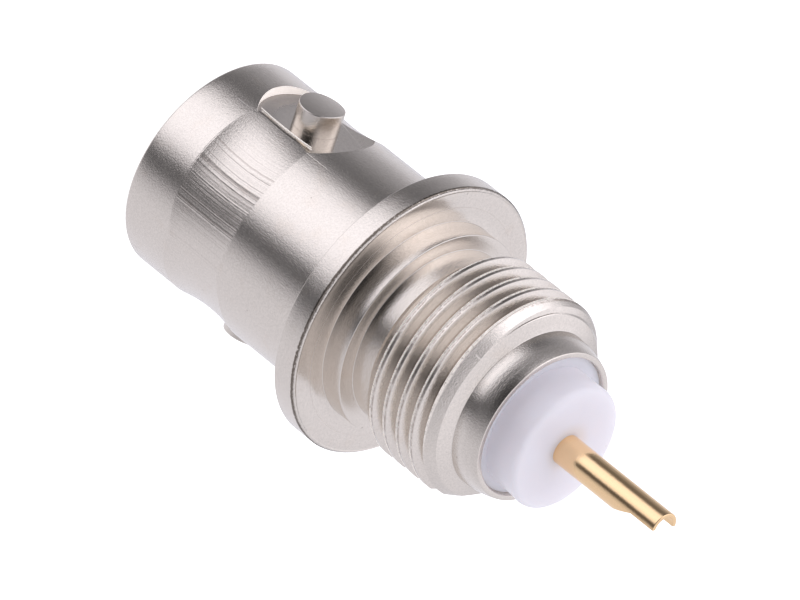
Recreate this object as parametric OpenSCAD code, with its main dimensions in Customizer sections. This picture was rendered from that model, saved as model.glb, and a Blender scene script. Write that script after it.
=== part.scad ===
// Bulkhead jack of the 50 ohm bayonet type, with a solder cup at the back.
// It stands on its mouth: the front face is at z = 0 and the solder cup points up.
// One bayonet lug points along +x, the other along -x. All sizes are in millimetres.

/* [Barrel] */
// Outside diameter of the barrel that the plug's sleeve slides over
barrel_d = 9.65; // [9.6:0.01:9.7]
// Bore diameter of the mouth
mouth_bore_d = 8.12; // [8.1:0.01:8.15]
// Depth of the mouth, from the front face to the web
mouth_depth = 8.4; // [8:0.1:8.7]
// Chamfer on the outer edge of the mouth
mouth_chamfer = 0.12; // [0.05:0.01:0.2]
// Chamfer on the inner edge of the mouth
mouth_inner_chamfer = 0.2; // [0.1:0.05:0.3]
// Front face to the middle of the shallow groove
groove_z = 4.12; // [4:0.02:4.3]
// Depth of the shallow groove between the lugs
groove_depth = 0.19; // [0.1:0.01:0.25]
// Width of the shallow groove
groove_w = 3.66; // [3.4:0.02:3.9]

/* [Bayonet lugs] */
// Front face to the centre of the lugs
lug_z = 4.25; // [4.1:0.01:4.4]
// Diameter of a lug
lug_d = 1.94; // [1.8:0.02:2]
// Distance over the tops of both lugs
lug_span = 10.92; // [10.8:0.02:11.08]
// Diameter of the milled spot around a lug
spot_d = 4.88; // [4.4:0.02:5.2]
// Axis to the flat floor of the milled spot
spot_h = 4.42; // [4.35:0.01:4.5]

/* [Flange and boss] */
// Front face to the front side of the flange
flange_z = 10.89; // [10.6:0.01:11.2]
// Thickness of the flange
flange_t = 1.16; // [1:0.02:1.4]
// Diameter of the flange
flange_d = 12.44; // [12:0.02:12.8]
// Bevel on the rear edge of the flange
flange_bevel = 0.1; // [0.05:0.01:0.2]
// Diameter of the boss that centres in the panel's hole
boss_d = 9.35; // [9.2:0.01:9.38]
// Length of the boss
boss_l = 1.03; // [0.8:0.01:1.2]
// Diameter of the relief behind the boss
neck_d = 7.98; // [7.8:0.02:8]
// Length of the relief
neck_l = 0.99; // [0.9:0.01:1.1]
// Axis to the flat that keys the boss and the shank in a D-shaped hole
flat_h = 4; // [4:0.01:4.2]

/* [Threaded shank] */
// Major diameter of the thread, three eighths of an inch less its allowance
thread_d = 9.4; // [9.39:0.01:9.5]
// Length of the shank, from the relief to the end of the rear chamfer
shank_l = 4.4; // [4.2:0.1:4.8]
// Length of the front chamfer of the shank
shank_front_chamfer = 0.68; // [0.6:0.02:0.7]
// Length of the rear chamfer of the shank
shank_rear_chamfer = 0.57; // [0.4:0.01:0.7]
// Diameter at the small end of the rear chamfer
shank_end_d = 8.5; // [8.3:0.02:8.6]
// Rise of the shallow cone behind the shank
shoulder_h = 0.23; // [0.1:0.01:0.3]
// Diameter of the thin lip at its foot
lip_d = 7.3; // [7.2:0.02:7.4]
// How far the end of the lip is rolled in over the insulator, on the radius
lip_roll = 0.19; // [0.05:0.01:0.25]
// Height of the rolled part of the lip
lip_roll_h = 1.05; // [0.8:0.05:1.05]
// Height of the lip above the cone
lip_h = 1.3; // [1.1:0.05:1.5]

/* [Inside of the body] */
// Thickness of the web behind the mouth
web_t = 1; // [0.8:0.1:1.2]
// Bore diameter behind the web
rear_bore_d = 6.4; // [6.3:0.02:6.5]
// Radial clearance of the front insulator's nose in the web
nose_clear = 0.075; // [0.03:0.005:0.1]
// Radial clearance of the insulators in the rear bore
bore_clear = 0.05; // [0.02:0.01:0.08]
// Gap left between faces that seat on each other
seat_gap = 0.03; // [0.02:0.01:0.04]

/* [Front insulator] */
// Diameter of the nose inside the mouth
nose_d = 4.75; // [4.6:0.01:4.8]
// Front face of the body to the tip of the nose
nose_z = 0.8; // [0.5:0.1:1.2]
// Length of the shoulder part in the rear bore
shoulder_l = 4.57; // [4.4:0.01:4.8]

/* [Rear insulator] */
// Depth of the first step's face below the end of the lip
rear_recess = 0.2; // [0.1:0.02:0.3]
// Diameter of the step that stands out of the lip
step_d = 5.52; // [5.2:0.02:5.7]
// Height of that step
step_l = 1.7; // [1.4:0.05:2]

/* [Contact] */
// Front face of the body to the tip of the socket
socket_z = 1.3; // [1.2:0.1:1.6]
// Outside diameter of the socket
socket_d = 2.16; // [2.1:0.02:2.2]
// Bore diameter of the socket
socket_bore_d = 1.36; // [1.34:0.01:1.38]
// Depth of the socket's bore
socket_bore_l = 6.5; // [6:0.1:7]
// Width of the cuts that divide the socket into springs
socket_slot_w = 0.2; // [0.15:0.01:0.22]
// Length of the cuts
socket_slot_l = 5; // [4:0.1:5.5]
// Diameter of the collar caught between the insulators
collar_d = 3; // [2.8:0.1:3.2]
// Length of the collar
collar_l = 1.45; // [1.2:0.05:1.6]
// Diameter of the tail
tail_d = 1.33; // [1.28:0.01:1.38]
// Length of the tail outside the rear insulator
tail_l = 5.86; // [5.5:0.02:6.2]
// Radial clearance of the socket and the tail in the insulators
contact_clear = 0.04; // [0.02:0.01:0.06]
// Radial clearance of the collar in its pocket
collar_clear = 0.05; // [0.03:0.01:0.08]
// Bore diameter of the solder cup
cup_bore_d = 0.96; // [0.9:0.01:1]
// Depth of the solder cup
cup_depth = 2.36; // [2:0.02:2.6]
// Length of the cup's open side, from the tip to the top of the ramp
cup_open_l = 1.31; // [1.1:0.01:1.5]
// Length of the ramp that leads into the open side
cup_ramp_l = 1.25; // [1:0.05:1.4]
// Axis to the cut that opens the cup
cup_cut_h = 0.1; // [0.05:0.01:0.2]

/* [Hidden] */
$fn = 96;
flange_rear_z = flange_z + flange_t;
boss_z = flange_rear_z + boss_l;
shank_z = boss_z + neck_l;
shank_end_z = shank_z + shank_l;
lip_z = shank_end_z + shoulder_h;
end_z = lip_z + lip_h;
web_z = mouth_depth + web_t;
lip_roll_z = end_z - lip_roll_h;
lip_end_d = lip_d - 2 * lip_roll;
groove_arc_r = (groove_w * groove_w / 4 + groove_depth * groove_depth) / (2 * groove_depth);
web_hole_d = nose_d + 2 * nose_clear;
insulator_d = rear_bore_d - 2 * bore_clear;
shoulder_z = web_z + seat_gap;
split_z = shoulder_z + shoulder_l;
rear_ins_z = split_z + seat_gap;
rear_face_z = end_z - rear_recess;
step_z = rear_face_z + step_l;
socket_hole_d = socket_d + 2 * contact_clear;
tail_hole_d = tail_d + 2 * contact_clear;
collar_z = split_z - seat_gap - collar_l;
pocket_z = collar_z - seat_gap;
pocket_d = collar_d + 2 * collar_clear;
tip_z = step_z + tail_l;
cup_z = tip_z - cup_depth;
ramp_top_z = tip_z - cup_open_l;
ramp_z = ramp_top_z - cup_ramp_l;
edge = 0.05;
past = 1;

// Turned outside of the body, as radius and height.
module body_profile() {
  polygon([
    [0, 0],
    [barrel_d / 2 - mouth_chamfer, 0],
    [barrel_d / 2, mouth_chamfer],
    [barrel_d / 2, flange_z],
    [flange_d / 2 - edge, flange_z],
    [flange_d / 2, flange_z + edge],
    [flange_d / 2, flange_rear_z - flange_bevel],
    [flange_d / 2 - flange_bevel, flange_rear_z],
    [boss_d / 2, flange_rear_z],
    [boss_d / 2, boss_z - edge],
    [boss_d / 2 - edge, boss_z],
    [neck_d / 2, boss_z],
    [neck_d / 2, shank_z],
    [thread_d / 2, shank_z + shank_front_chamfer],
    [thread_d / 2, shank_end_z - shank_rear_chamfer],
    [shank_end_d / 2, shank_end_z],
    [lip_d / 2, lip_z],
    [lip_d / 2, lip_roll_z],
    [lip_d / 2 - lip_roll / 4, (lip_roll_z + end_z) / 2],
    [lip_end_d / 2, end_z - edge],
    [lip_end_d / 2 - edge, end_z],
    [0, end_z]
  ]);
}

// Cutter that leaves the shallow groove around the barrel.
module groove_cut() {
  rotate_extrude()
    translate([barrel_d / 2 - groove_depth + groove_arc_r, groove_z])
      circle(r = groove_arc_r);
}

// Bores of the mouth, the web and the rear end, with their lead-ins.
module body_bores() {
  translate([0, 0, -past])
    cylinder(d = mouth_bore_d, h = mouth_depth + past);
  translate([0, 0, -edge])
    cylinder(
      d1 = mouth_bore_d + 2 * (mouth_inner_chamfer + edge),
      d2 = mouth_bore_d,
      h = mouth_inner_chamfer + edge
    );
  translate([0, 0, mouth_depth - past])
    cylinder(d = web_hole_d, h = web_t + 2 * past);
  translate([0, 0, web_z])
    cylinder(d = rear_bore_d, h = end_z - web_z + past);
  translate([0, 0, end_z - edge])
    cylinder(d1 = rear_bore_d, d2 = rear_bore_d + 4 * edge, h = 2 * edge);
}

// Round milled spot that leaves a flat floor around one lug.
module spot_cut() {
  translate([spot_h, 0, lug_z])
    rotate([0, 90, 0])
      cylinder(d = spot_d, h = barrel_d);
}

// One lug, its top turned to the span over both lugs.
module lug() {
  intersection() {
    translate([mouth_bore_d / 2 + edge, 0, lug_z])
      rotate([0, 90, 0])
        cylinder(d = lug_d, h = lug_span);
    cylinder(d = lug_span, h = 2 * lug_z);
  }
}

// Flat along the boss and the shank, opposite the lug on +x.
module key_flat_cut() {
  translate([-flange_d - flat_h, -flange_d / 2, flange_rear_z])
    cube([flange_d, flange_d, shank_end_z + shoulder_h - flange_rear_z]);
}

module body() {
  color([0.80, 0.78, 0.75]) {
    difference() {
      rotate_extrude()
        body_profile();
      groove_cut();
      body_bores();
      spot_cut();
      rotate([0, 0, 180])
        spot_cut();
      key_flat_cut();
    }
    lug();
    rotate([0, 0, 180])
      lug();
  }
}

module front_insulator() {
  color([0.93, 0.92, 0.93])
    difference() {
      union() {
        translate([0, 0, nose_z])
          cylinder(d1 = nose_d - 4 * edge, d2 = nose_d, h = 2 * edge);
        translate([0, 0, nose_z + 2 * edge])
          cylinder(d = nose_d, h = shoulder_z - nose_z);
        translate([0, 0, shoulder_z])
          cylinder(d = insulator_d, h = shoulder_l);
      }
      translate([0, 0, -past])
        cylinder(d = socket_hole_d, h = split_z + 2 * past);
      translate([0, 0, pocket_z])
        cylinder(d = pocket_d, h = split_z - pocket_z + past);
    }
}

module rear_insulator() {
  color([0.93, 0.92, 0.93])
    difference() {
      union() {
        translate([0, 0, rear_ins_z])
          cylinder(d = insulator_d, h = rear_face_z - rear_ins_z);
        translate([0, 0, rear_ins_z])
          cylinder(d = step_d, h = step_z - rear_ins_z);
      }
      translate([0, 0, rear_ins_z - past])
        cylinder(d = tail_hole_d, h = step_z - rear_ins_z + 2 * past);
    }
}

// Cutter that opens one side of the solder cup, with a ramp into it.
module cup_side_cut() {
  rotate([90, 0, 0])
    translate([0, 0, -tail_d])
      linear_extrude(2 * tail_d)
        polygon([
          [-tail_d / 2 - cup_ramp_l, ramp_z],
          [-tail_d / 2, ramp_z],
          [-cup_cut_h, ramp_top_z],
          [-cup_cut_h, tip_z + past],
          [-tail_d / 2 - cup_ramp_l, tip_z + past]
        ]);
}

module contact() {
  color([0.89, 0.70, 0.42])
    difference() {
      union() {
        translate([0, 0, socket_z])
          cylinder(d1 = socket_d - 4 * edge, d2 = socket_d, h = 2 * edge);
        translate([0, 0, socket_z + 2 * edge])
          cylinder(d = socket_d, h = collar_z - socket_z);
        translate([0, 0, collar_z])
          cylinder(d = collar_d, h = collar_l);
        translate([0, 0, collar_z])
          cylinder(d = tail_d, h = tip_z - collar_z);
      }
      translate([0, 0, socket_z - past])
        cylinder(d = socket_bore_d, h = socket_bore_l + past);
      for (a = [0, 90])
        rotate([0, 0, a + 45])
          translate([-socket_d, -socket_slot_w / 2, socket_z - past])
            cube([2 * socket_d, socket_slot_w, socket_slot_l + past]);
      translate([0, 0, cup_z])
        cylinder(d = cup_bore_d, h = cup_depth + past);
      cup_side_cut();
    }
}

body();
front_insulator();
rear_insulator();
contact();
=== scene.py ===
"""Bayonet bulkhead jack: detailed pieces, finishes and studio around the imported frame."""

import math
from types import SimpleNamespace

import bpy
from mathutils import Matrix, Vector


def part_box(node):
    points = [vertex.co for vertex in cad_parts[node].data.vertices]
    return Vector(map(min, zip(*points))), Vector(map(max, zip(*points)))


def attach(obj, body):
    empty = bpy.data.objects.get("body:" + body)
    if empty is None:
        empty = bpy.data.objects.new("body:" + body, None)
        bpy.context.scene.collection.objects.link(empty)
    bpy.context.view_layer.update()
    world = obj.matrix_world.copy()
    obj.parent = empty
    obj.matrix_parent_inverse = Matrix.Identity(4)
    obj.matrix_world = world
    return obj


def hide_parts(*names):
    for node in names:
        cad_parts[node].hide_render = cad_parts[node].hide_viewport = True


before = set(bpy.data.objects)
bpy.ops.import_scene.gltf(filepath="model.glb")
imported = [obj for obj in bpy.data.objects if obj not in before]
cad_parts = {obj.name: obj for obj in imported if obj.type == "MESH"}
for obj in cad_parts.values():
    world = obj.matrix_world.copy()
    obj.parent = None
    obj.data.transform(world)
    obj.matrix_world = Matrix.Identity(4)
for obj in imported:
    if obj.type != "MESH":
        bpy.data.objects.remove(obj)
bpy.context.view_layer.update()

bl_info = {
    "name": "Bayonet bulkhead jack",
    "version": (1, 0, 0),
    "blender": (4, 5, 0),
    "location": "View3D > Sidebar > Jack",
    "description": "Builds a bayonet bulkhead jack with its finishes and a small studio",
    "category": "Add Mesh",
}

MM = 0.001


def node_heights(node):
    """Lowest and highest height of a node, in millimetres."""
    low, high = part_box(node)
    return low[2] / MM, high[2] / MM


FLANGE_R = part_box("body")[1][0] / MM
REAR_LOW, REAR_HIGH = node_heights("rear_insulator")
NOSE_LOW, NOSE_HIGH = node_heights("front_insulator")
CONTACT_LOW, CONTACT_HIGH = node_heights("contact")


def length(name, default, description):
    """A size that is written in millimetres and kept in metres."""
    return bpy.props.FloatProperty(
        name=name, default=default * MM, min=0, precision=5, unit="LENGTH", description=description
    )


def turn_angle(name, default, description):
    """An angle that is written in degrees and kept in radians."""
    return bpy.props.FloatProperty(
        name=name,
        default=math.radians(default),
        subtype="ANGLE",
        unit="ROTATION",
        description=description,
    )


def tint(name, default, description):
    """A colour."""
    return bpy.props.FloatVectorProperty(
        name=name,
        default=default,
        size=3,
        min=0,
        max=1,
        subtype="COLOR",
        description=description,
    )


def in_mm(group):
    """The values of a group, its lengths in millimetres."""
    sizes = SimpleNamespace()
    for name in group.__annotations__:
        value = getattr(group, name)
        if group.bl_rna.properties[name].unit == "LENGTH":
            value = round(value / MM, 6)
        setattr(sizes, name, value)
    return sizes


class JackBody(bpy.types.PropertyGroup):
    steps: bpy.props.IntProperty(
        name="Steps around", default=384, min=48, description="Faces around the body"
    )
    barrel_r: length("Barrel radius", 4.825, "Outside of the barrel")
    mouth_r: length("Mouth radius", 4.06, "Bore of the mouth")
    mouth_lead: length("Mouth lead", 0.2, "Width and depth of the mouth's lead-in")
    web_z: length("Web front", 8.4, "Mouth to the web that holds the front insulator")
    web_h: length("Web thickness", 1.0, "Thickness of the web")
    web_r: length("Web bore", 2.45, "Bore radius of the web")
    bore_r: length("Rear bore", 3.2, "Bore radius behind the web")
    flange_z: length("Flange front", 10.89, "Mouth to the flange's front side")
    flange_h: length("Flange thickness", 1.16, "Thickness of the flange")
    flange_r: length("Flange radius", FLANGE_R, "Outside of the flange")
    boss_r: length("Boss radius", 4.674, "Outside of the boss behind the flange")
    boss_h: length("Boss height", 1.03, "Height of the boss")
    relief_r: length("Relief radius", 3.99, "Radius between the boss and the thread")
    groove_z: length("Groove middle", 4.12, "Mouth to the middle of the groove")
    groove_half: length("Groove half width", 1.83, "Middle of the groove to its edge")
    groove_arc: length("Groove section", 8.9, "Radius of the groove's section")
    lobe_r: length("Lobe radius", 4.875, "Radius that each pass of the groove was cut to")
    lobe_shift: length("Lobe offset", 0.24, "How far each pass sits off the axis")
    ridge_turn: turn_angle("Ridge place", 19.1, "Turn from a lug to the ridge beside it")
    ridge_half: length("Ridge half length", 1.55, "Middle of the ridge to its end")
    ridge_r: length("Ridge thickness", 0.06, "Radius of the ridge's bead")
    lug_z: length("Lug height", 4.25, "Mouth to the middle of the lugs")
    lug_r: length("Lug radius", 0.97, "Radius of a lug")
    lug_top: length("Lug reach", 5.46, "Axis to the top of a lug")
    spot_r: length("Spot radius", 2.44, "Radius of the milled spot around a lug")
    spot_h: length("Spot floor", 4.42, "Axis to the floor of the milled spot")
    flat_h: length("Key flat", 4.0, "Axis to the flat of the shank")
    flat_end: length("Key flat end", 18.75, "Mouth to the rear end of the flat")
    thread_r: length("Thread radius", 4.7, "Major radius of the thread")
    root_r: length("Root radius", 4.26, "Radius at the root of the thread")
    root_z: length("Root height", 15.982, "Mouth to a root of the thread, in line with a lug")
    pitch: length("Thread pitch", 0.79375, "Rise of the thread in one turn")
    lip_r: length("Lip radius", 3.66, "Outside of the lip where it leaves the cone")
    lip_end_r: length("Lip end radius", 3.44, "Outside of the lip at its rear end")
    lip_end: length("Lip end", 20.0, "Mouth to the lip's rear end")


class JackInside(bpy.types.PropertyGroup):
    seat_r: length("Seat radius", 3.15, "Outside of both insulators in the rear bore")
    nose_r: length("Nose radius", 2.375, "Outside of the front insulator's nose")
    nose_bore: length("Nose bore", 1.12, "Bore radius of the front insulator")
    step_r: length("Step radius", 2.76, "Outside of the step behind the lip")
    face_z: length("First face", 19.8, "Mouth to the insulator's first face")
    step_shift: length("Step offset", 0.07, "How far the step sits off the axis")
    step_turn: turn_angle("Step offset side", 146, "Side to which the step sits off the axis")
    flare: length("Edge flare", 0.2, "How far the step's edge is pressed out on one side")
    flare_turn: turn_angle("Flare side", 185, "Side on which the step's edge is pressed out")
    socket_r: length("Socket bore", 0.68, "Bore radius of the socket")
    socket_depth: length("Socket depth", 6.5, "Depth of the socket")
    barrel_r: length("Contact radius", 1.08, "Outside of the contact in the nose")
    collar_r: length("Collar radius", 1.5, "Outside of the collar between the insulators")
    collar_z: length("Collar front", 12.52, "Mouth to the collar")
    collar_h: length("Collar height", 1.45, "Height of the collar")
    slot_w: length("Socket slot", 0.2, "Width of the saw cuts in the socket")
    slot_l: length("Slot depth", 5.0, "Depth of the saw cuts in the socket")
    tail_r: length("Tail radius", 0.665, "Outside of the contact's tail")
    tail_shift: length("Tail offset", 0.13, "How far the tail leans off the axis")
    tail_turn: turn_angle("Tail offset side", 135, "Side to which the tail leans")
    cup_r: length("Cup bore", 0.48, "Bore radius of the solder cup")
    cup_depth: length("Cup depth", 2.2, "Depth of the solder cup to its conical end")
    cup_open: length("Cup opening", 1.31, "Length of the solder cup that is cut open to the middle")
    cup_ramp: length("Cup ramp", 1.25, "Length of the ramp at the end of the opening")


class JackFinish(bpy.types.PropertyGroup):
    nickel: tint("Nickel", (0.745, 0.69, 0.63), "Colour of the plated body")
    ptfe: tint("PTFE", (0.72, 0.70, 0.745), "Colour of the insulators")
    gold: tint("Gold", (0.97, 0.69, 0.40), "Colour of the contact")


class JackStudio(bpy.types.PropertyGroup):
    azimuth: turn_angle("Camera azimuth", 56.6393, "Direction that the camera looks from")
    elevation: turn_angle("Camera elevation", 33.0518, "Height angle of the camera")
    roll: turn_angle("Camera roll", 128.6876, "Turn of the camera about its own axis")
    distance: length("Camera distance", 594.79, "Camera to the point that it looks at")
    aim: bpy.props.FloatVectorProperty(
        name="Aim",
        default=(0.0003241, -0.0002134, 0.0109835),
        size=3,
        subtype="XYZ",
        unit="LENGTH",
        description="Point that the camera looks at",
    )
    lens: bpy.props.FloatProperty(
        name="Lens",
        default=670.56,
        min=1,
        unit="CAMERA",
        description="Focal length on a 36 mm sensor",
    )


# ---------------------------------------------------------------- shapes


def only(obj):
    """Makes one object the only selected and active one."""
    if bpy.context.object and bpy.context.object.mode != "OBJECT":
        bpy.ops.object.mode_set(mode="OBJECT")
    bpy.ops.object.select_all(action="DESELECT")
    obj.select_set(True)
    bpy.context.view_layer.objects.active = obj
    return obj


def rounded(corners, arc_steps=4, longest=0.4):
    """Outline points from corners given as (radius, height, fillet), in millimetres."""
    points = []
    count = len(corners)
    for i, (r, z, fillet) in enumerate(corners):
        here = Vector((r, z))
        before = Vector(corners[i - 1][:2])
        after = Vector(corners[(i + 1) % count][:2])
        if fillet <= 0:
            points.append(here)
            continue
        to_before = (before - here).normalized()
        to_after = (after - here).normalized()
        half = to_before.angle(to_after) / 2
        reach = fillet / math.tan(half)
        centre = here + (to_before + to_after).normalized() * fillet / math.sin(half)
        start = here + to_before * reach - centre
        end = here + to_after * reach - centre
        sweep = start.angle_signed(end)
        for k in range(arc_steps + 1):
            a = -sweep * k / arc_steps
            turned = Vector(
                (
                    start.x * math.cos(a) - start.y * math.sin(a),
                    start.x * math.sin(a) + start.y * math.cos(a),
                )
            )
            points.append(centre + turned)
    split = []
    for i, p in enumerate(points):
        q = points[(i + 1) % len(points)]
        pieces = max(1, math.ceil((q - p).length / longest))
        split += [p.lerp(q, k / pieces) for k in range(pieces)]
    return split


def outline_object(name, points, y=0):
    """A closed ring of edges in a plane of constant y, radius along X and height along Z."""
    bpy.ops.object.select_all(action="DESELECT")
    bpy.ops.mesh.primitive_circle_add(vertices=len(points), radius=MM)
    obj = bpy.context.object
    obj.name = obj.data.name = name
    for vertex, (r, z) in zip(obj.data.vertices, points):
        vertex.co = (r * MM, y * MM, z * MM)
    return obj


def turned(name, points, steps, centre=(0, 0)):
    """A solid made by spinning an outline about an upright axis through centre."""
    obj = only(outline_object(name, points, centre[1]))
    bpy.ops.object.mode_set(mode="EDIT")
    bpy.ops.mesh.select_all(action="SELECT")
    bpy.ops.mesh.spin(
        steps=steps, angle=2 * math.pi, center=(centre[0] * MM, centre[1] * MM, 0), axis=(0, 0, 1)
    )
    bpy.ops.mesh.select_all(action="SELECT")
    bpy.ops.mesh.remove_doubles(threshold=1e-8)
    bpy.ops.mesh.normals_make_consistent(inside=False)
    bpy.ops.object.mode_set(mode="OBJECT")
    return obj


def combine(obj, tool, operation):
    """Cuts obj with a tool or joins the two, and removes the tool."""
    modifier = only(obj).modifiers.new("combine", "BOOLEAN")
    modifier.operation = operation
    modifier.solver = "MANIFOLD"
    modifier.object = tool
    bpy.ops.object.modifier_apply(modifier=modifier.name)
    bpy.data.objects.remove(tool)


def seat(obj):
    """Puts an object's place into its mesh."""
    only(obj)
    bpy.ops.object.transform_apply(location=True, rotation=True, scale=True)
    return obj


def round_bar(name, r, length_mm, centre, lying=False, sides=96):
    """A round bar along Z, or along X if lying, used as a cutter."""
    bpy.ops.object.select_all(action="DESELECT")
    bpy.ops.mesh.primitive_cylinder_add(
        vertices=sides,
        radius=r * MM,
        depth=length_mm * MM,
        location=[c * MM for c in centre],
        rotation=(0, math.pi / 2, 0) if lying else (0, 0, 0),
    )
    obj = seat(bpy.context.object)
    obj.name = name
    return obj


def smooth(obj):
    """Smooth shading with sharp edges kept."""
    only(obj)
    bpy.ops.object.shade_smooth_by_angle(angle=math.radians(30))


SLIVER = 1e-10


def crease(obj, where, angle):
    """Keeps the shallow edges sharp in one region, apart from those of sliver faces."""
    mesh = only(obj).data
    faces = {}
    for polygon in mesh.polygons:
        for key in polygon.edge_keys:
            faces.setdefault(key, []).append(polygon)
    limit = math.cos(math.radians(angle))
    for edge in mesh.edges:
        sides = faces[edge.key]
        if len(sides) != 2 or min(face.area for face in sides) < SLIVER:
            continue
        if sides[0].normal.dot(sides[1].normal) < limit:
            middle = sum((mesh.vertices[i].co for i in edge.vertices), Vector()) / 2
            if where(middle / MM):
                edge.use_edge_sharp = True


def settle(obj, node, material):
    """Gives a finished piece its material and its body, and hides the node that it stands for."""
    obj.data.materials.clear()
    obj.data.materials.append(material)
    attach(obj, "root")
    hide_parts(node)


# ---------------------------------------------------------------- finishes


class Wire:
    """A shader socket. Arithmetic on it adds Math nodes to its tree."""

    def __init__(self, tree, socket=None):
        self.tree = tree
        self.socket = socket

    def node(self, kind, inputs=(), output=0, stops=(), **settings):
        """Adds a node: settings first, then the values or links of its sockets."""
        node = self.tree.nodes.new(kind)
        for name, value in settings.items():
            setattr(node, name, value)
        if stops:
            ramp = node.color_ramp
            while len(ramp.elements) < len(stops):
                ramp.elements.new(1)
            for element, (place, colour) in zip(ramp.elements, stops):
                element.position = place
                element.color = (*colour, 1)
        for key, value in dict(inputs).items():
            if isinstance(value, Wire):
                self.tree.links.new(value.socket, node.inputs[key])
            else:
                node.inputs[key].default_value = value
        return Wire(self.tree, node.outputs[output])

    def math(self, operation, *values):
        return self.node("ShaderNodeMath", enumerate(values), operation=operation)

    def __add__(self, other):
        return self.math("ADD", self, other)

    __radd__ = __add__

    def __sub__(self, other):
        return self.math("SUBTRACT", self, other)

    def __rsub__(self, other):
        return self.math("SUBTRACT", other, self)

    def __mul__(self, other):
        return self.math("MULTIPLY", self, other)

    __rmul__ = __mul__

    def __truediv__(self, other):
        return self.math("DIVIDE", self, other)

    def __abs__(self):
        return self.math("ABSOLUTE", self)

    def __mod__(self, other):
        return self.math("FLOORED_MODULO", self, other)


def rise(value, start, end):
    """0 below start and 1 above end, with a soft step between."""
    return value.node(
        "ShaderNodeMapRange",
        {0: value, 1: start, 2: end},
        interpolation_type="SMOOTHSTEP",
    )


def band(value, low, high, soft):
    """1 between low and high, with soft edges."""
    return rise(value, low - soft, low + soft) * (1 - rise(value, high - soft, high + soft))


def blend_colour(factor, below, above, mode="MIX"):
    """The colour below where factor is 0, and the one above where it is 1."""
    return factor.node(
        "ShaderNodeMix",
        {0: factor, 6: below, 7: above},
        output=2,
        data_type="RGBA",
        blend_type=mode,
    )


def grain(place, scale, detail=2, rough=0.5):
    """Noise with about this many grains to a millimetre."""
    return place.mm.node(
        "ShaderNodeTexNoise",
        {"Vector": place.mm, "Scale": scale, "Detail": detail, "Roughness": rough},
    )


class Place:
    """Where a point of a piece is: object coordinates in millimetres, round the axis."""

    def __init__(self, tree):
        start = Wire(tree)
        point = start.node("ShaderNodeTexCoord", output="Object")
        self.mm = start.node("ShaderNodeVectorMath", {0: point, 3: 1 / MM}, operation="SCALE")
        self.x = start.node("ShaderNodeSeparateXYZ", {0: self.mm}, output=0)
        self.y = start.node("ShaderNodeSeparateXYZ", {0: self.mm}, output=1)
        self.z = start.node("ShaderNodeSeparateXYZ", {0: self.mm}, output=2)
        self.r = start.math("SQRT", self.x * self.x + self.y * self.y)
        self.turn = self.y.math("ARCTAN2", self.y, self.x) * (180 / math.pi)


def new_material(name):
    """A material with its node tree and its Principled shader."""
    material = bpy.data.materials.new(name)
    material.use_nodes = True
    tree = material.node_tree
    shader = tree.nodes["Principled BSDF"]
    return material, tree, shader


def feed(tree, shader, name, value):
    """Sets a constant on the shader's own socket, or links a value that varies."""
    if isinstance(value, Wire):
        tree.links.new(value.socket, shader.inputs[name])
    else:
        shader.inputs[name].default_value = value


def colour4(colour):
    """A colour with full alpha."""
    return (*colour, 1)


def relief(*layers):
    """Bump nodes, one on the other, from (height, depth in millimetres, strength)."""
    normal = None
    for height, depth, strength in layers:
        inputs = {"Height": height, "Distance": depth * MM, "Strength": strength}
        if normal is not None:
            inputs["Normal"] = normal
        normal = height.node("ShaderNodeBump", inputs)
    return normal


def stripes(value, detail=2):
    """Noise that varies along one value only, as lines left by a cutter."""
    return value.node(
        "ShaderNodeTexNoise",
        {"W": value, "Scale": 1, "Detail": detail, "Roughness": 0.6},
        noise_dimensions="1D",
    )


def shade(factor, below, tint_rgb):
    """Multiplies a colour by a tint where factor is 1."""
    return blend_colour(factor, below, colour4(tint_rgb), "MULTIPLY")


def two_tones(factor, colour, dark, light):
    """A colour that goes from a darker to a lighter shade of itself."""
    shades = [colour4([c * shade_of for c in colour]) for shade_of in (dark, light)]
    return blend_colour(factor, *shades)


PATCH_TINT = (0.96, 0.93, 0.9)
# Painted shade along the groove's cutter lines.
CUT_SHADE_TINT = (0.6, 0.57, 0.56)
# Painted shade along the groove's step lines.
STEP_SHADE_TINT = (0.4, 0.37, 0.36)
# Painted shade beside the thread's crests.
CREST_SIDE_SHADE_TINT = (0.45, 0.4, 0.37)
# Painted shade in the thread's roots.
ROOT_SHADE_TINT = (0.5, 0.42, 0.35)
# Painted shade in a line at the ridge's foot.
RIDGE_FOOT_SHADE_TINT = (0.3, 0.28, 0.27)
# Painted shade: a ragged dark line on the flange's rim.
RIM_SHADE_TINT = (0.25, 0.23, 0.21)
# Painted shade on the spot floor near the wall.
FLOOR_SHADE_TINT = (0.66, 0.67, 0.7)
SPECK_TINT = (0.5, 0.48, 0.46)
# Painted highlight on the ridge's top.
RIDGE_HIGHLIGHT = (1, 0.94, 0.86, 1)
# Painted highlight on the thread's burred crests.
BURR_HIGHLIGHT = (1, 0.93, 0.84, 1)
# Painted reflection of bright light on the spot's wall.
WALL_REFLECTION = (1, 0.95, 0.9, 1)
BLACK = (0, 0, 0, 1)
# Painted light: a faint glow given to the spot's wall, the ridge's top and the burrs.
PAINTED_GLOW = (0.42, 0.38, 0.35, 1)

# Raised lines in the groove, as (turn in degrees, half width)
STEP_LINES = ((66.3, 0.3), (49, 0.3), (57, 0.4), (60.8, 0.3), (76, 0.35), (81.5, 0.3))


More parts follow.
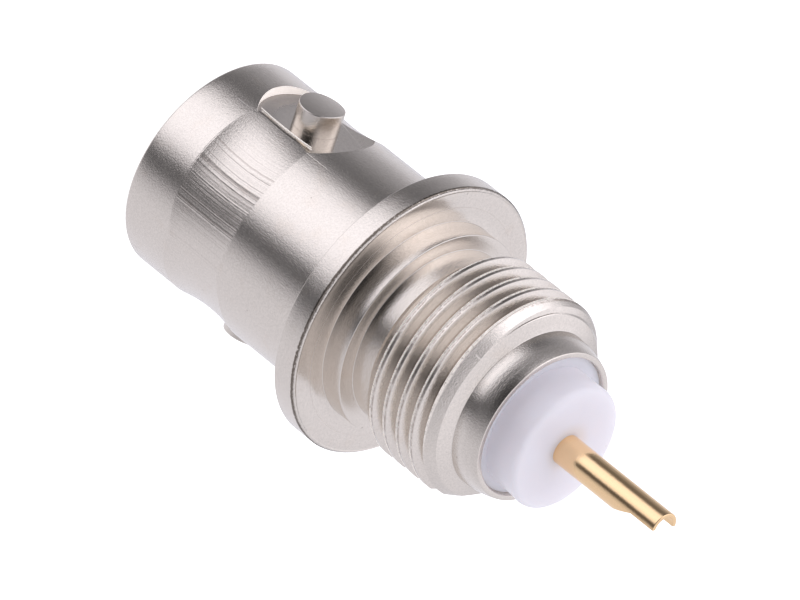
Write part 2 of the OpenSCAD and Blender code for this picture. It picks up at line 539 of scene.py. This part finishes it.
def spot_marks(place, body):
    """Floor, wall and lug of the milled spots, with painted shade on the floor near the wall;
    distances from the lug's axis are squared.
    """
    out, z = abs(place.x), place.z
    along = z - body.lug_z
    from_lug = place.y * place.y + along * along
    floor = band(out, body.spot_h - 0.006, body.spot_h + 0.006, 0.003)
    floor = floor * band(z, 1.6, 7, 0.01) * rise(place.r, 4.3, 4.4)
    wall_at = body.spot_r**2
    wall = band(out, body.spot_h + 0.01, body.barrel_r - 0.005, 0.01)
    wall = wall * band(z, 1.7, 2.6, 0.1) * band(from_lug, wall_at - 0.104, wall_at + 0.046, 0.03)
    return SimpleNamespace(
        floor=floor,
        edge=floor * rise(from_lug, 2.9, 4.5),
        by_wall=floor * rise(from_lug, 1.4, 4.8) * rise(z, body.lug_z + 0.6, body.lug_z - 0.8),
        wall=wall,
        lug=rise(out, body.spot_h + 0.02, body.spot_h + 0.04) * rise(from_lug, 1.1, 1.0),
    )


def groove_marks(place, body):
    """Lines that the cutter left in the groove, bowed a little along it; the cutter and step lines
    are also darkened in colour as painted shade.
    """
    z, r = place.z, place.r
    along = z - body.groove_z
    half = body.groove_half - 0.01
    groove = band(z, body.groove_z - half, body.groove_z + half, 0.03) * rise(r, 4.2, 4.3)
    groove = groove * rise(r, body.barrel_r - 0.003, body.barrel_r - 0.015)
    groove = groove * rise(abs(place.x), body.spot_h - 0.02, body.spot_h - 0.04)
    bowed = place.turn + along * along * 0.35
    first, *others = (band(bowed, at - wide, at + wide, wide) for at, wide in STEP_LINES)
    return SimpleNamespace(
        groove=groove,
        worked=groove * band(bowed, 44, 86, 3),
        faint=groove * band(bowed, 20, 104, 6),
        cuts=stripes(bowed * 0.9 + stripes(z * 0.8) * 0.8, 4),
        step_lines=sum(others, first),
        deep_line=groove * band(bowed, 57.6, 58.5, 0.3),
        thin_line=groove * band(bowed, 61.2, 61.8, 0.25),
    )


def ridge_marks(place, body):
    """The ridge between groove and spot, painted pale as a highlight, and the line at its foot,
    painted dark as shade.
    """
    at = math.degrees(body.ridge_turn)
    ridge = band(place.z, body.groove_z - 1.52, body.groove_z + 1.53, 0.05)
    ridge = ridge * rise(place.r, 4.5, 4.55) * rise(abs(place.x), 3.9, 4.0)
    return SimpleNamespace(
        top=ridge * band(place.turn, at - 0.6, at + 0.6, 0.3),
        foot=ridge * band(place.turn, at + 1.4, at + 2.1, 0.35),
    )


def flange_marks(place, body):
    """The flange's rear face with its turning rings, and its notched rear edge, darkened in a
    ragged line as painted shade.
    """
    z, r = place.z, place.r
    rear = body.flange_z + body.flange_h
    face = rise(abs(z - rear), 0.02, 0.01) * rise(r, body.boss_r - 0.014, body.boss_r + 0.016)
    notches = grain(place, 6, 3, 0.8)
    rim = rise(r, body.flange_r - 0.17, body.flange_r - 0.12)
    dark = rim * band(z + notches * 0.14, rear - 0.09, rear + 0.015, 0.02)
    return SimpleNamespace(
        face=face,
        arc=face * band(r, 5.325, 5.34, 0.012),
        rings=stripes(r * 6, 2),
        notches=notches,
        rim_dark=dark * rise(notches, 0.3, 0.42),
        rim_light=rim * band(z, rear - 0.05, rear + 0.01, 0.01),
    )


def thread_marks(place, body):
    """Burred crests painted pale as highlights, painted shade beside the crests and at the roots,
    and fine lines on the flanks of the thread.
    """
    z, r = place.z, place.r
    rear = body.flange_z + body.flange_h
    turns = (z - body.root_z) * (1 / body.pitch) - place.turn * (1 / 360)
    crest = turns % 1 - 0.5
    thread = band(z, rear + 2.55, rear + 6.0, 0.1)
    thread = thread * rise(r, body.root_r - 0.06, body.root_r - 0.02)
    ragged = grain(place, 5, 3, 0.8)
    burr = thread * rise(r, body.thread_r - 0.15, body.thread_r - 0.08)
    burr = burr * band(crest + ragged * 0.08, -0.17, 0.0, 0.02) * rise(ragged, 0.3, 0.5)
    beside = thread * rise(r, body.thread_r - 0.12, body.thread_r - 0.07)
    beside = beside * band(crest + ragged * 0.05, 0.02, 0.12, 0.02) * rise(ragged, 0.35, 0.6)
    return SimpleNamespace(
        thread=thread,
        burr=burr,
        beside=beside,
        root=thread * rise(abs(crest), 0.40, 0.49),
        lines=stripes(r * 11 + ragged, 3),
    )


def nickel_plate(finish, body):
    """Bright plating over turned and milled brass, with the marks of each cut; many marks carry
    painted shade, highlights, reflection and glow.
    """
    material, tree, shader = new_material("nickel plate")
    place = Place(tree)
    speckle = grain(place, 13, 3, 0.75)
    patch = grain(place, 1.1, 2, 0.5)
    fine = grain(place, 3.5, 3, 0.7)
    specks = rise(grain(place, 3.1, 1), 0.79, 0.82)
    turning = stripes(place.z * 9, 3)
    spot = spot_marks(place, body)
    groove = groove_marks(place, body)
    ridge = ridge_marks(place, body)
    flange = flange_marks(place, body)
    thread = thread_marks(place, body)

    base = two_tones(rise(speckle, 0.3, 0.7), finish.nickel, 0.92, 1.04)
    # Darker tints by mask: the patches are the plating's own uneven tone; the rest is painted shade
    # along the groove's lines, beside the thread's crests, in its roots, at the ridge's foot and on
    # the flange's rim.
    for factor, colour in (
        (rise(patch, 0.55, 0.8) * 0.5, PATCH_TINT),
        (rise(groove.cuts, 0.5, 0.66) * (groove.worked * 0.55 + groove.faint * 0.15), CUT_SHADE_TINT),
        (thread.beside * 0.8, CREST_SIDE_SHADE_TINT),
        (groove.deep_line * 0.7, STEP_SHADE_TINT),
        (groove.thin_line * 0.5, STEP_SHADE_TINT),
        (thread.root * 0.6, ROOT_SHADE_TINT),
        (ridge.foot, RIDGE_FOOT_SHADE_TINT),
        (flange.rim_dark, RIM_SHADE_TINT),
    ):
        base = shade(factor, base, colour)
    # Painted highlights on the ridge's top and the burrs, and a painted reflection of bright light
    # on the spot's wall.
    base = blend_colour(ridge.top, base, RIDGE_HIGHLIGHT)
    base = blend_colour(thread.burr, base, BURR_HIGHLIGHT)
    base = blend_colour(spot.wall, base, WALL_REFLECTION)
    # Painted shade on the spot floor near the wall.
    base = shade(spot.by_wall, base, FLOOR_SHADE_TINT)
    base = shade(specks * 0.6, base, SPECK_TINT)

    rough = 0.12 + speckle * 0.08
    rough = rough + spot.by_wall * 0.4 + spot.edge * 0.2 - spot.floor * 0.06
    rough = rough + spot.lug * 0.04 + spot.wall * 0.4
    rough = rough + thread.burr * 0.3 + ridge.top * 0.3 + flange.arc * 0.5
    rough = rough - groove.groove * 0.02

    off_floor = 1 - spot.floor
    feed(tree, shader, "Base Color", base)
    feed(tree, shader, "Roughness", rough)
    # Painted light: the wall, the ridge's top and the burrs are made matte and given a faint glow,
    # as stand-ins for their highlights and reflection.
    feed(tree, shader, "Metallic", 1 - spot.wall * 0.8 - ridge.top * 0.7 - thread.burr * 0.6)
    glowing = spot.wall + ridge.top * 0.5 + thread.burr * 0.4
    feed(tree, shader, "Emission Color", blend_colour(glowing, BLACK, PAINTED_GLOW))
    feed(tree, shader, "Emission Strength", 1.0)
    normal = relief(
        (speckle * off_floor * (1 - flange.face * 0.85), 0.008, 1),
        (fine * off_floor, 0.0025, 1),
        (groove.cuts * (groove.worked * 0.25 + groove.faint * 0.08), 0.03, 1),
        (groove.step_lines * groove.worked, 0.006, 1),
        (flange.rings * flange.face, 0.0003, 1),
        (thread.lines * thread.thread, 0.001, 1),
        (turning * off_floor * (1 - flange.face), 0.001, 1),
        (flange.notches * (flange.rim_light + thread.burr * 2), 0.05, 1),
    )
    feed(tree, shader, "Normal", normal)
    return material


PIN_WARMTH = (1.0, 0.9, 0.8)
DUST_TINT = (0.75, 0.72, 0.68)


def white_ptfe(finish):
    """Milky white, a little warm round the contact, with few specks of dust and a faint painted
    glow.
    """
    material, tree, shader = new_material("white PTFE")
    place = Place(tree)
    warm = rise(place.r, 1.25, 0.62) * rise(place.z, REAR_HIGH - 0.3, REAR_HIGH - 0.05)
    dust = rise(grain(place, 4.1, 0), 0.85, 0.87)
    base = two_tones(grain(place, 1.2), finish.ptfe, 0.97, 1)
    base = shade(warm * 0.8, base, PIN_WARMTH)
    base = shade(dust * 0.5, base, DUST_TINT)
    feed(tree, shader, "Base Color", base)
    feed(tree, shader, "Roughness", 0.34)
    feed(tree, shader, "Subsurface Weight", 0.8)
    feed(tree, shader, "Subsurface Radius", (1.0, 0.85, 0.8))
    feed(tree, shader, "Subsurface Scale", 2.0 * MM)
    # Painted glow: a faint emission in the PTFE's own colour lightens its shaded sides.
    feed(tree, shader, "Emission Color", colour4(finish.ptfe))
    feed(tree, shader, "Emission Strength", 0.21)
    feed(tree, shader, "Normal", relief((grain(place, 5), 0.004, 0.6)))
    return material


def gold_plate(finish):
    """Smooth gold with a fine grain."""
    material, tree, shader = new_material("gold plate")
    place = Place(tree)
    speckle = grain(place, 14, 3, 0.6)
    feed(tree, shader, "Metallic", 1.0)
    feed(tree, shader, "Base Color", two_tones(speckle, finish.gold, 0.92, 1))
    feed(tree, shader, "Roughness", 0.1 + speckle * 0.08)
    feed(tree, shader, "Normal", relief((grain(place, 6), 0.006, 0.6)))
    return material


# ---------------------------------------------------------------- pieces


def polar(r, turn):
    """The point at this distance from the axis and this angle round it."""
    return r * math.cos(turn), r * math.sin(turn)


def body_corners(body):
    """Corners of the turned body, from the mouth round to the rear bore."""
    front, rear = body.flange_z, body.flange_z + body.flange_h
    boss_end = rear + body.boss_h
    relief_end = boss_end + 0.99
    thread_start, thread_end = rear + 2.7, rear + 5.87
    web_end = body.web_z + body.web_h
    return [
        (body.mouth_r + body.mouth_lead, 0, 0.02),
        (body.barrel_r, 0, 0.13),
        (body.barrel_r, front, 0.02),
        (body.flange_r, front, 0.05),
        (body.flange_r, rear - 0.1, 0.02),
        (body.flange_r - 0.1, rear, 0.02),
        (body.boss_r, rear, 0.02),
        (body.boss_r, boss_end, 0.04),
        (body.relief_r, boss_end, 0.03),
        (body.relief_r, relief_end, 0.02),
        (body.thread_r, thread_start, 0.02),
        (body.thread_r, thread_end, 0.02),
        (body.root_r, thread_end + 0.53, 0.03),
        (body.lip_r, thread_end + 0.78, 0.03),
        # The lip rolls inwards, more and more towards its end.
        (body.lip_r - 0.008, body.lip_end - 0.94, 1.6),
        (body.lip_r - 0.028, body.lip_end - 0.75, 1.3),
        (body.lip_r - 0.06, body.lip_end - 0.57, 1.6),
        (body.lip_r - 0.12, body.lip_end - 0.31, 1.6),
        (body.lip_end_r, body.lip_end, 0.06),
        (body.bore_r + 0.04, body.lip_end, 0.03),
        (body.bore_r, body.lip_end - 0.05, 0),
        (body.bore_r, web_end, 0),
        (body.web_r, web_end, 0),
        (body.web_r, body.web_z, 0),
        (body.mouth_r, body.web_z, 0),
        (body.mouth_r, body.mouth_lead, 0),
    ]


# Sides of the four passes of the groove's cutter, in degrees from a lug.
PASSES = (55, 145, 235, 325)


def groove_radius(body, along):
    """Radius that a pass leaves at this distance from the groove's middle."""
    return body.lobe_r + body.groove_arc - math.sqrt(body.groove_arc**2 - along * along)


def cut_groove(obj, body):
    """Four passes of a round-nosed cutter, each a little off the axis."""
    reach, arc_steps, clear = 2.2, 18, 5.6
    arc = []
    for k in range(arc_steps + 1):
        along = reach * (2 * k / arc_steps - 1)
        arc.append((groove_radius(body, along), body.groove_z + along))
    points = arc + [(clear, arc[-1][1]), (clear, arc[0][1])]
    for side in PASSES:
        centre = polar(-body.lobe_shift, math.radians(side))
        shifted = [Vector((r + centre[0], z)) for r, z in points]
        combine(obj, turned("groove cutter", shifted, body.steps, centre), "DIFFERENCE")


def cut_thread(obj, body):
    """A sixty degree groove swept right-handed along the shank and past both of its ends."""
    start = body.root_z - 3 * body.pitch
    top = body.thread_r + 0.12
    root_half = 0.025
    top_half = root_half + (top - body.root_r) * math.tan(math.radians(30))
    points = [
        Vector((body.root_r, start - root_half)),
        Vector((top, start - top_half)),
        Vector((top, start + top_half)),
        Vector((body.root_r, start + root_half)),
    ]
    cutter = only(outline_object("thread cutter", points))
    screw = cutter.modifiers.new("thread", "SCREW")
    screw.axis = "Z"
    screw.screw_offset = body.pitch * MM
    screw.iterations = 7
    screw.steps = screw.render_steps = 128
    screw.use_merge_vertices = False
    bpy.ops.object.modifier_apply(modifier=screw.name)
    bpy.ops.object.mode_set(mode="EDIT")
    bpy.ops.mesh.select_all(action="SELECT")
    bpy.ops.mesh.fill_holes(sides=0)
    bpy.ops.mesh.normals_make_consistent(inside=False)
    bpy.ops.object.mode_set(mode="OBJECT")
    combine(obj, cutter, "DIFFERENCE")


def ridge_bead(body, side):
    """The burr that the groove's cutter pushed up against the milled spot."""
    bpy.ops.object.select_all(action="DESELECT")
    bpy.ops.mesh.primitive_cylinder_add(
        vertices=16, radius=body.ridge_r * MM, depth=2 * body.ridge_half * MM
    )
    obj = only(bpy.context.object)
    bpy.ops.object.mode_set(mode="EDIT")
    for k in range(-7, 8):
        bpy.ops.mesh.select_all(action="SELECT")
        bpy.ops.mesh.bisect(plane_co=(0, 0, 0.2 * k * MM), plane_no=(0, 0, 1))
    bpy.ops.object.mode_set(mode="OBJECT")
    from_pass = math.radians(PASSES[0]) - body.ridge_turn
    for vertex in obj.data.vertices:
        along = vertex.co.z / MM
        surface = groove_radius(body, along) - body.lobe_shift * math.cos(from_pass)
        turn = body.ridge_turn + math.radians(0.105 * along * along)
        thin = 1 - 0.45 * abs(along) / body.ridge_half
        out = Vector((*polar(1, turn), 0))
        across = Vector((-out.y, out.x, 0))
        reach = min(body.barrel_r, surface) * MM + vertex.co.x * thin
        place = (out * reach + across * (vertex.co.y * thin)) * side
        vertex.co = (place.x, place.y, (body.groove_z + along) * MM)
    return obj


def lug_solid(body, side):
    """One lug, turned about its own axis, with its top rounded to the span."""
    sunk = 0.25
    root, top, r = body.spot_h - sunk, body.lug_top, body.lug_r
    tall = top - root
    corners = [(0, 0, 0), (r, 0, 0), (r, tall, 0.04), (0, tall, 0)]
    obj = turned("lug", rounded(corners, longest=0.12), 96)
    for vertex in obj.data.vertices:
        x, y, z = vertex.co
        across = y / MM
        drop = top - math.sqrt(top * top - across * across) if z > tall / 2 * MM else 0
        vertex.co = (side * (root * MM + z - drop * MM), side * y, body.lug_z * MM - x)
    return obj


def cut_key_flat(obj, body):
    """The flat along the boss and the shank."""
    wide, rear = 10, body.flange_z + body.flange_h
    bpy.ops.object.select_all(action="DESELECT")
    bpy.ops.mesh.primitive_cube_add(
        size=wide * MM, location=((-wide / 2 - body.flat_h) * MM, 0, 0)
    )
    block = seat(bpy.context.object)
    for vertex in block.data.vertices:
        vertex.co.z = (body.flat_end if vertex.co.z > 0 else rear) * MM
    combine(obj, block, "DIFFERENCE")


def nickel_body(body, material):
    """The turned blank, then its groove, thread, spots with lugs and ridges, and flat."""
    obj = turned("jack_body", rounded(body_corners(body)), body.steps)
    cut_groove(obj, body)
    cut_thread(obj, body)
    tall = 4
    for side in (1, -1):
        centre = (side * (body.spot_h + tall / 2), 0, body.lug_z)
        spot = round_bar("spot cutter", body.spot_r, tall, centre, lying=True, sides=192)
        combine(obj, spot, "DIFFERENCE")
        combine(obj, lug_solid(body, side), "UNION")
        combine(obj, ridge_bead(body, side), "UNION")
    cut_key_flat(obj, body)
    smooth(obj)
    crease(obj, lambda p: 1.5 < p.z < 6.8 and p.xy.length > 4.3, 7)
    crease(obj, lambda p: 17.4 < p.z < 18.9 and p.xy.length > 3.7, 12)
    settle(obj, "body", material)


class JACK_OT_body(bpy.types.Operator):
    """Turn, mill and thread the nickel-plated body"""

    bl_idname = "jack.body"
    bl_label = "Body"

    def execute(self, context):
        body = in_mm(context.scene.jack_body)
        nickel_body(body, nickel_plate(context.scene.jack_finish, body))
        return {"FINISHED"}


def rear_insulator(inside, material):
    """The stepped insulator; its step sits a little off the axis and flares on one side."""
    face, core, root = inside.face_z, 0.6, inside.face_z - 1
    corners = [
        (core, REAR_LOW, 0),
        (inside.seat_r, REAR_LOW, 0),
        (inside.seat_r + 0.04, face, 0.06),
        (core, face, 0),
    ]
    obj = turned("jack_rear_insulator", rounded(corners, 6), 192)
    corners = [
        (core, root, 0),
        (inside.step_r, root, 0),
        (inside.step_r, REAR_HIGH, 0.28),
        (core, REAR_HIGH, 0.02),
    ]
    step = turned("step", rounded(corners, 10, 0.2), 192)
    shift_x, shift_y = polar(inside.step_shift, inside.step_turn)
    for vertex in step.data.vertices:
        x, y, z = vertex.co / MM
        lift = max(0, (z - face) / (REAR_HIGH - face))
        outer = max(0, (math.hypot(x, y) - 1) / (inside.step_r - 1))
        turn = math.atan2(y, x)
        facing = max(0, math.cos(turn - inside.flare_turn))
        flare_x, flare_y = polar(inside.flare * lift**2 * outer * facing**2, turn)
        vertex.co.x += (shift_x + flare_x) * MM
        vertex.co.y += (shift_y + flare_y) * MM
    combine(obj, step, "UNION")
    hole_at = (*polar(inside.tail_shift, inside.tail_turn), REAR_LOW + 5)
    combine(obj, round_bar("hole", inside.tail_r - 0.02, 20, hole_at), "DIFFERENCE")
    smooth(obj)
    settle(obj, "rear_insulator", material)


def front_insulator(inside, material):
    """The insulator with the nose in the mouth, bored for the contact and its collar."""
    shoulder, pocket_r, pocket_z = 9.43, 1.55, inside.collar_z - 0.03
    corners = [
        (inside.nose_bore, NOSE_LOW, 0.05),
        (inside.nose_r, NOSE_LOW, 0.12),
        (inside.nose_r, shoulder, 0),
        (inside.seat_r, shoulder, 0.05),
        (inside.seat_r, NOSE_HIGH, 0),
        (pocket_r, NOSE_HIGH, 0),
        (pocket_r, pocket_z, 0),
        (inside.nose_bore, pocket_z, 0),
    ]
    obj = turned("jack_front_insulator", rounded(corners, longest=0.5), 128)
    smooth(obj)
    settle(obj, "front_insulator", material)


class JACK_OT_insulators(bpy.types.Operator):
    """Make both white insulators"""

    bl_idname = "jack.insulators"
    bl_label = "Insulators"

    def execute(self, context):
        inside = in_mm(context.scene.jack_inside)
        material = white_ptfe(context.scene.jack_finish)
        rear_insulator(inside, material)
        front_insulator(inside, material)
        return {"FINISHED"}


def contact_corners(inside):
    """Corners of the turned contact, from the socket's bottom round to the cup's."""
    low, tip = CONTACT_LOW, CONTACT_HIGH
    collar_end = inside.collar_z + inside.collar_h
    return [
        (0, low + inside.socket_depth, 0),
        (inside.socket_r, low + inside.socket_depth, 0),
        (inside.socket_r, low, 0.08),
        (inside.barrel_r, low, 0.1),
        (inside.barrel_r, inside.collar_z, 0),
        (inside.collar_r, inside.collar_z, 0.05),
        (inside.collar_r, collar_end, 0.05),
        (inside.tail_r, collar_end, 0),
        (inside.tail_r, tip, 0.04),
        (inside.cup_r, tip, 0.03),
        (inside.cup_r, tip - inside.cup_depth, 0),
        (0, tip - inside.cup_depth - 0.25, 0),
    ]


def cut_slots(obj, inside):
    """Two saw cuts across the socket."""
    past = 2
    middle = CONTACT_LOW + (inside.slot_l - past) / 2
    for turn in (45, 135):
        bpy.ops.object.select_all(action="DESELECT")
        bpy.ops.mesh.primitive_cube_add(size=1, location=(0, 0, middle * MM))
        saw = bpy.context.object
        saw.scale = (4 * MM, inside.slot_w * MM, (inside.slot_l + past) * MM)
        saw.rotation_euler.z = math.radians(turn)
        combine(obj, seat(saw), "DIFFERENCE")


def cut_cup_open(obj, inside):
    """The ramp and the flat that open the solder cup on one side."""
    tip, outside, middle, half = CONTACT_HIGH, -1.9, -0.1, 1
    ramp_end = tip - inside.cup_open
    ramp_start = ramp_end - inside.cup_ramp
    corners = (
        (outside, ramp_start - 0.1),
        (-inside.tail_r - 0.001, ramp_start),
        (middle, ramp_end),
        (middle, tip + 1),
        (outside, tip + 1),
    )
    cutter = only(outline_object("cup cutter", [Vector(corner) for corner in corners]))
    bpy.ops.object.mode_set(mode="EDIT")
    bpy.ops.mesh.select_all(action="SELECT")
    bpy.ops.transform.translate(value=(0, -half * MM, 0))
    bpy.ops.mesh.edge_face_add()
    bpy.ops.mesh.extrude_region_move(TRANSFORM_OT_translate={"value": (0, 2 * half * MM, 0)})
    bpy.ops.mesh.select_all(action="SELECT")
    bpy.ops.mesh.normals_make_consistent(inside=False)
    bpy.ops.object.mode_set(mode="OBJECT")
    combine(obj, cutter, "DIFFERENCE")


def gold_contact(inside, material):
    """The turned contact; its tail leans over from behind the collar, then stands straight."""
    obj = turned("jack_contact", rounded(contact_corners(inside), longest=0.3), 128)
    tail_x, tail_y = polar(inside.tail_shift, inside.tail_turn)
    lean_start, lean_length = 14.2, 5
    for vertex in obj.data.vertices:
        lean = min(1, max(0, (vertex.co.z / MM - lean_start) / lean_length))
        vertex.co.x += tail_x * lean * MM
        vertex.co.y += tail_y * lean * MM
    cut_slots(obj, inside)
    cut_cup_open(obj, inside)
    smooth(obj)
    settle(obj, "contact", material)


class JACK_OT_contact(bpy.types.Operator):
    """Make the gold-plated centre contact with its solder cup"""

    bl_idname = "jack.contact"
    bl_label = "Contact"

    def execute(self, context):
        gold_contact(in_mm(context.scene.jack_inside), gold_plate(context.scene.jack_finish))
        return {"FINISHED"}


# ---------------------------------------------------------------- studio


def camera(studio):
    """The camera, far off with a long lens."""
    data = bpy.data.cameras.new("camera")
    data.lens = studio.lens
    data.sensor_width = 36
    data.clip_end = 10
    obj = bpy.data.objects.new("camera", data)
    bpy.context.scene.collection.objects.link(obj)
    level_x, level_y = polar(math.cos(studio.elevation), studio.azimuth)
    back = Vector((level_x, level_y, math.sin(studio.elevation)))
    side = Vector((0, 0, 1)).cross(back).normalized()
    up = back.cross(side)
    c, s = math.cos(studio.roll), math.sin(studio.roll)
    right = side * c + up * s
    above = up * c - side * s
    place = Matrix((right, above, back)).transposed().to_4x4()
    place.translation = Vector(studio.aim) + back * studio.distance
    obj.matrix_world = place
    bpy.context.scene.camera = obj


def pale_floor():
    """A plain floor just under the mouth, which neither shades the jack nor shows in it."""
    bpy.ops.object.select_all(action="DESELECT")
    bpy.ops.mesh.primitive_plane_add(size=4, location=(0, 0, -0.02 * MM))
    floor = seat(bpy.context.object)
    floor.name = "floor"
    material, tree, shader = new_material("pale floor")
    feed(tree, shader, "Base Color", (0.6, 0.6, 0.6, 1))
    feed(tree, shader, "Roughness", 0.9)
    feed(tree, shader, "Emission Color", (1, 1, 1, 1))
    feed(tree, shader, "Emission Strength", 0.9)
    floor.data.materials.append(material)
    floor.visible_glossy = False
    floor.visible_diffuse = False
    floor.visible_shadow = False


# Strength and tint of the light, and the share of it that the plating gives back.
LIGHT = 2.0
LIGHT_TINT = (0.98, 0.975, 1.055)
GIVEN_BACK = 0.685


def glow(tone):
    """The light that shows as a grey of this tone, 0 to 255, in the plated body."""
    value = ((tone / 255 + 0.055) / 1.055) ** 2.4 / (LIGHT * GIVEN_BACK)
    return [value * share for share in LIGHT_TINT]


def light_ring(azimuth, tones):
    """Light around the studio, as (degrees from the camera's side, tone)."""
    stops = [((a + 180) / 360, glow(tone)) for a, tone in tones]
    return azimuth.node("ShaderNodeValToRGB", {0: azimuth / 360}, stops=stops)


# Rings of light below, level with and above the jack. The dark stretches are the gaps
# between the soft boxes and the dark side that the camera stands on.
LOW_LIGHT = (
    (-180, 206), (-150, 198), (-134, 192), (-128, 162), (-112, 142), (-100, 124), (-88, 98),
    (-72, 96), (-66, 116), (-60, 172), (-52, 222), (-44, 244), (-20, 252), (-4, 247),
    (8, 226), (14, 198), (19, 130), (26, 84), (37, 82), (43, 112), (50, 162), (58, 182),
    (72, 198), (110, 201), (140, 204), (180, 206),
)
LEVEL_LIGHT = (
    (-180, 190), (-140, 162), (-100, 140), (-72, 136), (-52, 126), (-36, 110), (-20, 80),
    (0, 70), (20, 80), (36, 110), (52, 158), (72, 188), (140, 195), (180, 190),
)
HIGH_LIGHT = (
    (-180, 212), (-150, 222), (-120, 246), (-90, 272), (-72, 286), (-58, 274), (-46, 228),
    (-34, 140), (-22, 62), (-12, 34), (0, 26), (14, 30), (26, 60), (38, 112), (50, 150),
    (64, 178), (100, 200), (140, 204), (180, 206),
)
# Tones straight below and straight above.
NADIR, ZENITH = 200, 216


def studio_world(studio):
    """The rings of light, blended by height; heights are sines of the angle above level."""
    world = bpy.data.worlds.new("studio")
    bpy.context.scene.world = world
    world.use_nodes = True
    tree = world.node_tree
    tree.nodes.clear()
    start = Wire(tree)
    toward = start.node("ShaderNodeTexCoord", output="Generated")
    x, y, z = (start.node("ShaderNodeSeparateXYZ", {0: toward}, output=i) for i in range(3))
    azimuth = y.math("ARCTAN2", y, x) * (180 / math.pi) - math.degrees(studio.azimuth)
    azimuth = (azimuth + 180) % 360
    light = light_ring(azimuth, LOW_LIGHT)
    for low, high, next_light in (
        (-0.87, -0.97, colour4(glow(NADIR))),
        (-0.36, -0.17, light_ring(azimuth, LEVEL_LIGHT)),
        (0.03, 0.34, light_ring(azimuth, HIGH_LIGHT)),
        (0.5, 0.9, colour4(glow(ZENITH))),
    ):
        light = blend_colour(rise(z, low, high), light, next_light)
    out = light.node("ShaderNodeBackground", {0: light, 1: LIGHT})
    target = tree.nodes.new("ShaderNodeOutputWorld")
    tree.links.new(out.socket, target.inputs[0])


class JACK_OT_studio(bpy.types.Operator):
    """Set up the floor, the light and the camera"""

    bl_idname = "jack.studio"
    bl_label = "Studio"

    def execute(self, context):
        scene = context.scene
        camera(scene.jack_studio)
        pale_floor()
        studio_world(scene.jack_studio)
        scene.view_settings.view_transform = "Standard"
        return {"FINISHED"}


class JACK_PT_panel(bpy.types.Panel):
    """Sizes, finishes and build steps of the jack"""

    bl_label = "Bayonet jack"
    bl_space_type = "VIEW_3D"
    bl_region_type = "UI"
    bl_category = "Jack"

    def draw(self, context):
        scene = context.scene
        for group in (getattr(scene, name) for name in GROUPS):
            box = self.layout.box()
            for name in group.__annotations__:
                box.prop(group, name)
        for operator in OPERATORS:
            self.layout.operator(operator.bl_idname)


GROUPS = {
    "jack_body": JackBody,
    "jack_inside": JackInside,
    "jack_finish": JackFinish,
    "jack_studio": JackStudio,
}
OPERATORS = (JACK_OT_studio, JACK_OT_body, JACK_OT_insulators, JACK_OT_contact)


def register():
    for cls in (*GROUPS.values(), *OPERATORS, JACK_PT_panel):
        bpy.utils.register_class(cls)
    for name, group in GROUPS.items():
        setattr(bpy.types.Scene, name, bpy.props.PointerProperty(type=group))


def unregister():
    for name in GROUPS:
        delattr(bpy.types.Scene, name)
    for cls in reversed((*GROUPS.values(), *OPERATORS, JACK_PT_panel)):
        bpy.utils.unregister_class(cls)


def main():
    register()
    bpy.ops.jack.studio()
    bpy.ops.jack.body()
    bpy.ops.jack.insulators()
    bpy.ops.jack.contact()


if __name__ == "__main__":
    main()
